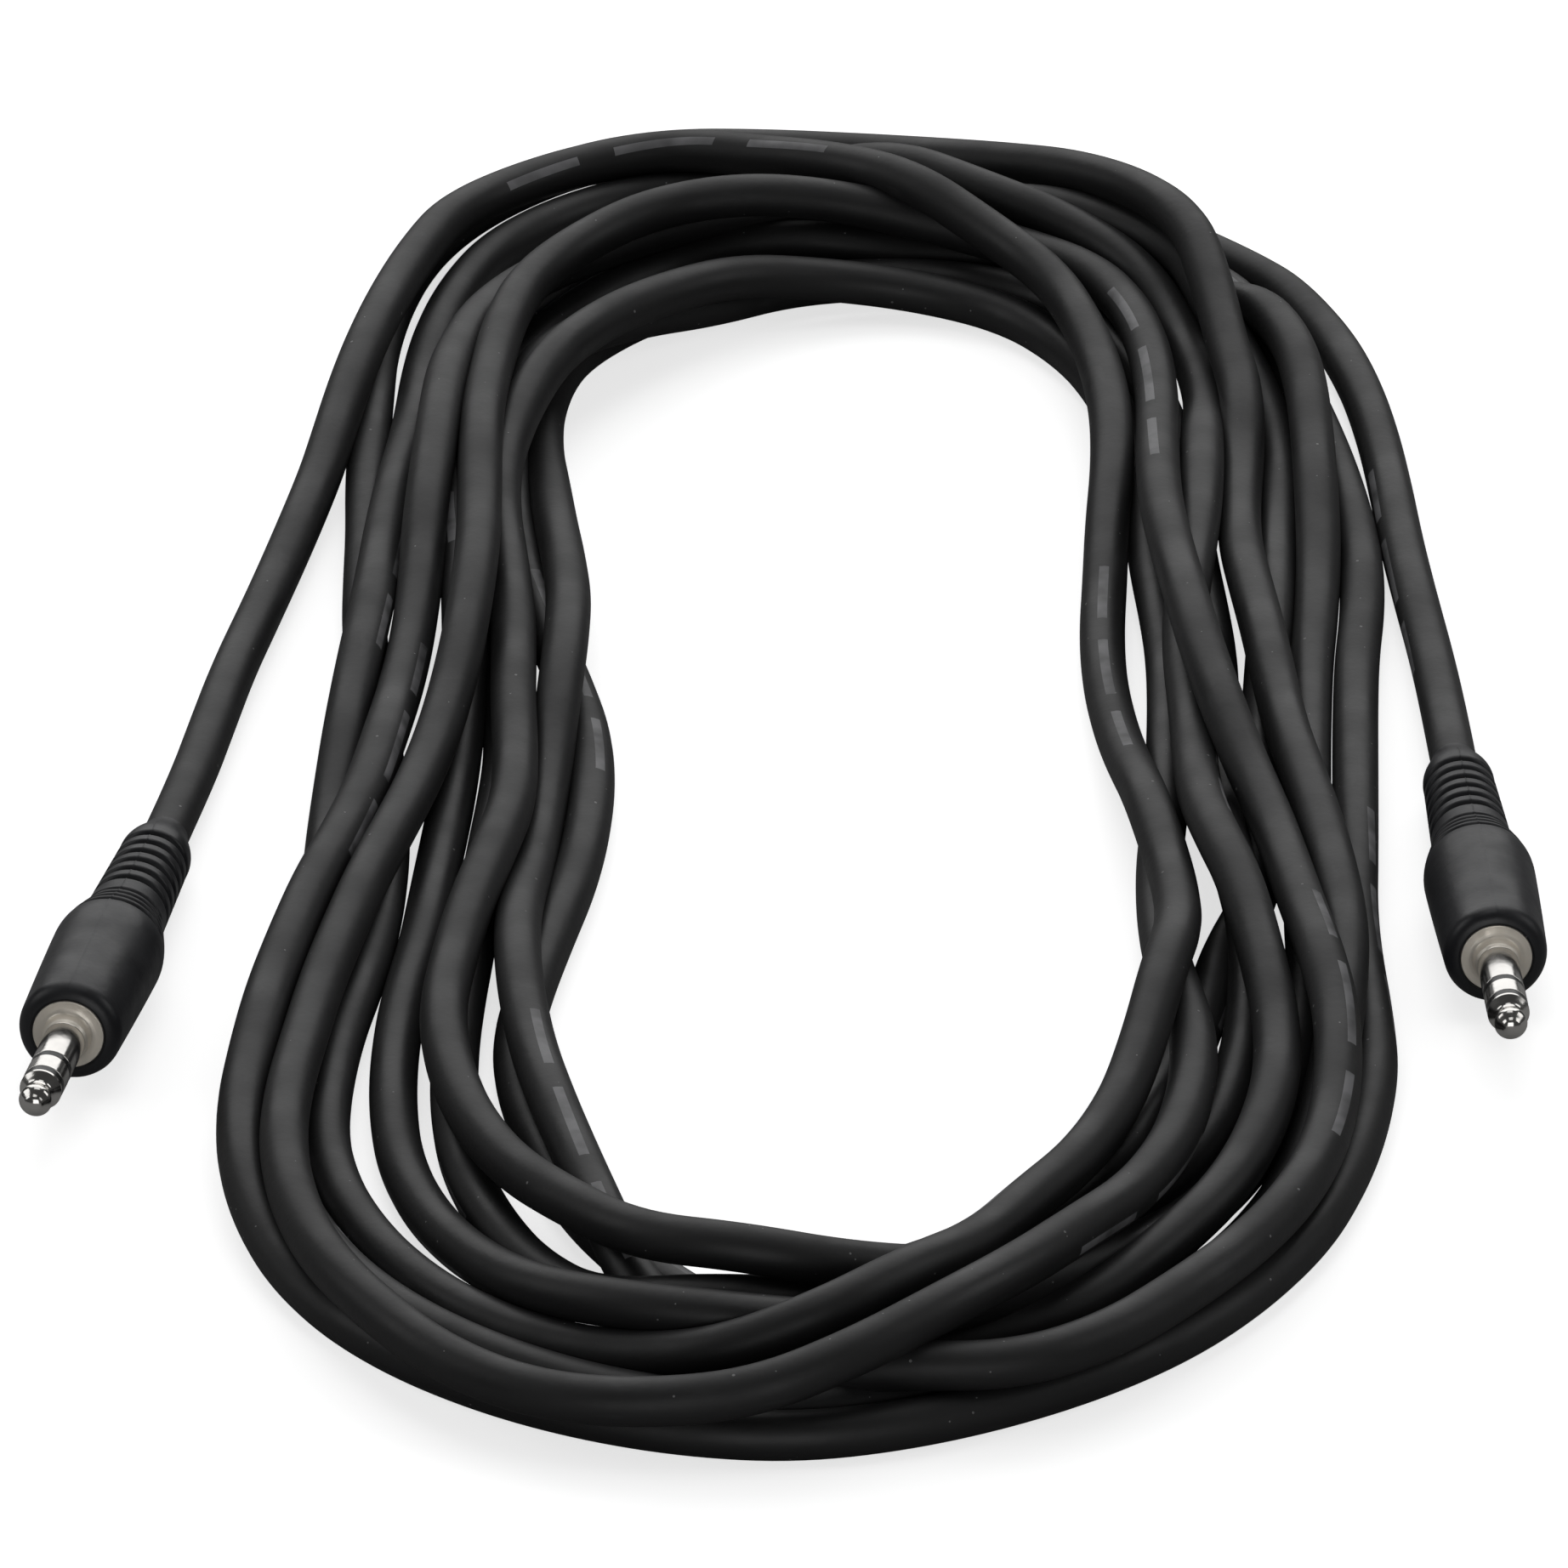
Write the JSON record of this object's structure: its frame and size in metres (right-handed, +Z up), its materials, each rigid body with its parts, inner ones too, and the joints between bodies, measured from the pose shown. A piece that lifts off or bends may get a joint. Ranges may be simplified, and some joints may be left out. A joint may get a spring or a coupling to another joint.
{
  "type": "audio cable",
  "caption": "Long thin audio cable lying in a loose oval coil, with a moulded 3.5 mm three-pole plug and ribbed strain relief at each end.",
  "frame": {"origin": "on the surface that the cable lies on, under the middle of its outline", "axes": "+Z up, +Y along the coil away from the plugs' noses, +X across it towards plug b"},
  "size_m": [0.1271, 0.2323, 0.0126],
  "materials": {
    "cable_jacket": "satin black PVC with faint handling marks",
    "plug_rubber": "semi-matt moulded black PVC",
    "inner_mould": "natural moulded polyethylene",
    "pin_metal": "bright nickel plate",
    "collar_metal": "warm nickel plate, turned",
    "black_insulator": "moulded black",
    "lug_brass": "tinned brass",
    "core_red": "insulation",
    "core_white": "insulation",
    "bare_copper": "bare twisted copper",
    "solder": "soft solder"
  },
  "bodies": {
    "root": {"coil_turns": "cable_jacket", "cable_end_a": "cable_jacket", "cable_end_b": "cable_jacket", "plug_a_tip_contact": "pin_metal", "plug_a_tip_insulator": "black_insulator", "plug_a_ring_contact": "pin_metal", "plug_a_ring_insulator": "black_insulator", "plug_a_sleeve_contact": "collar_metal", "plug_a_ground_lug": "lug_brass", "plug_a_ring_lug": "lug_brass", "plug_a_tip_lug": "lug_brass", "plug_a_lug_washers": "black_insulator", "plug_a_jacket_end": "cable_jacket", "plug_a_core_ring": "core_red", "plug_a_core_tip": "core_white", "plug_a_shield_pigtail": "bare_copper", "plug_a_solder_joints": "solder", "plug_a_inner_mould": "inner_mould", "plug_a_overmould": "plug_rubber", "plug_b_tip_contact": "pin_metal", "plug_b_tip_insulator": "black_insulator", "plug_b_ring_contact": "pin_metal", "plug_b_ring_insulator": "black_insulator", "plug_b_sleeve_contact": "collar_metal", "plug_b_ground_lug": "lug_brass", "plug_b_ring_lug": "lug_brass", "plug_b_tip_lug": "lug_brass", "plug_b_lug_washers": "black_insulator", "plug_b_jacket_end": "cable_jacket", "plug_b_core_ring": "core_red", "plug_b_core_tip": "core_white", "plug_b_shield_pigtail": "bare_copper", "plug_b_solder_joints": "solder", "plug_b_inner_mould": "inner_mould", "plug_b_overmould": "plug_rubber"}
  },
  "joints": []
}
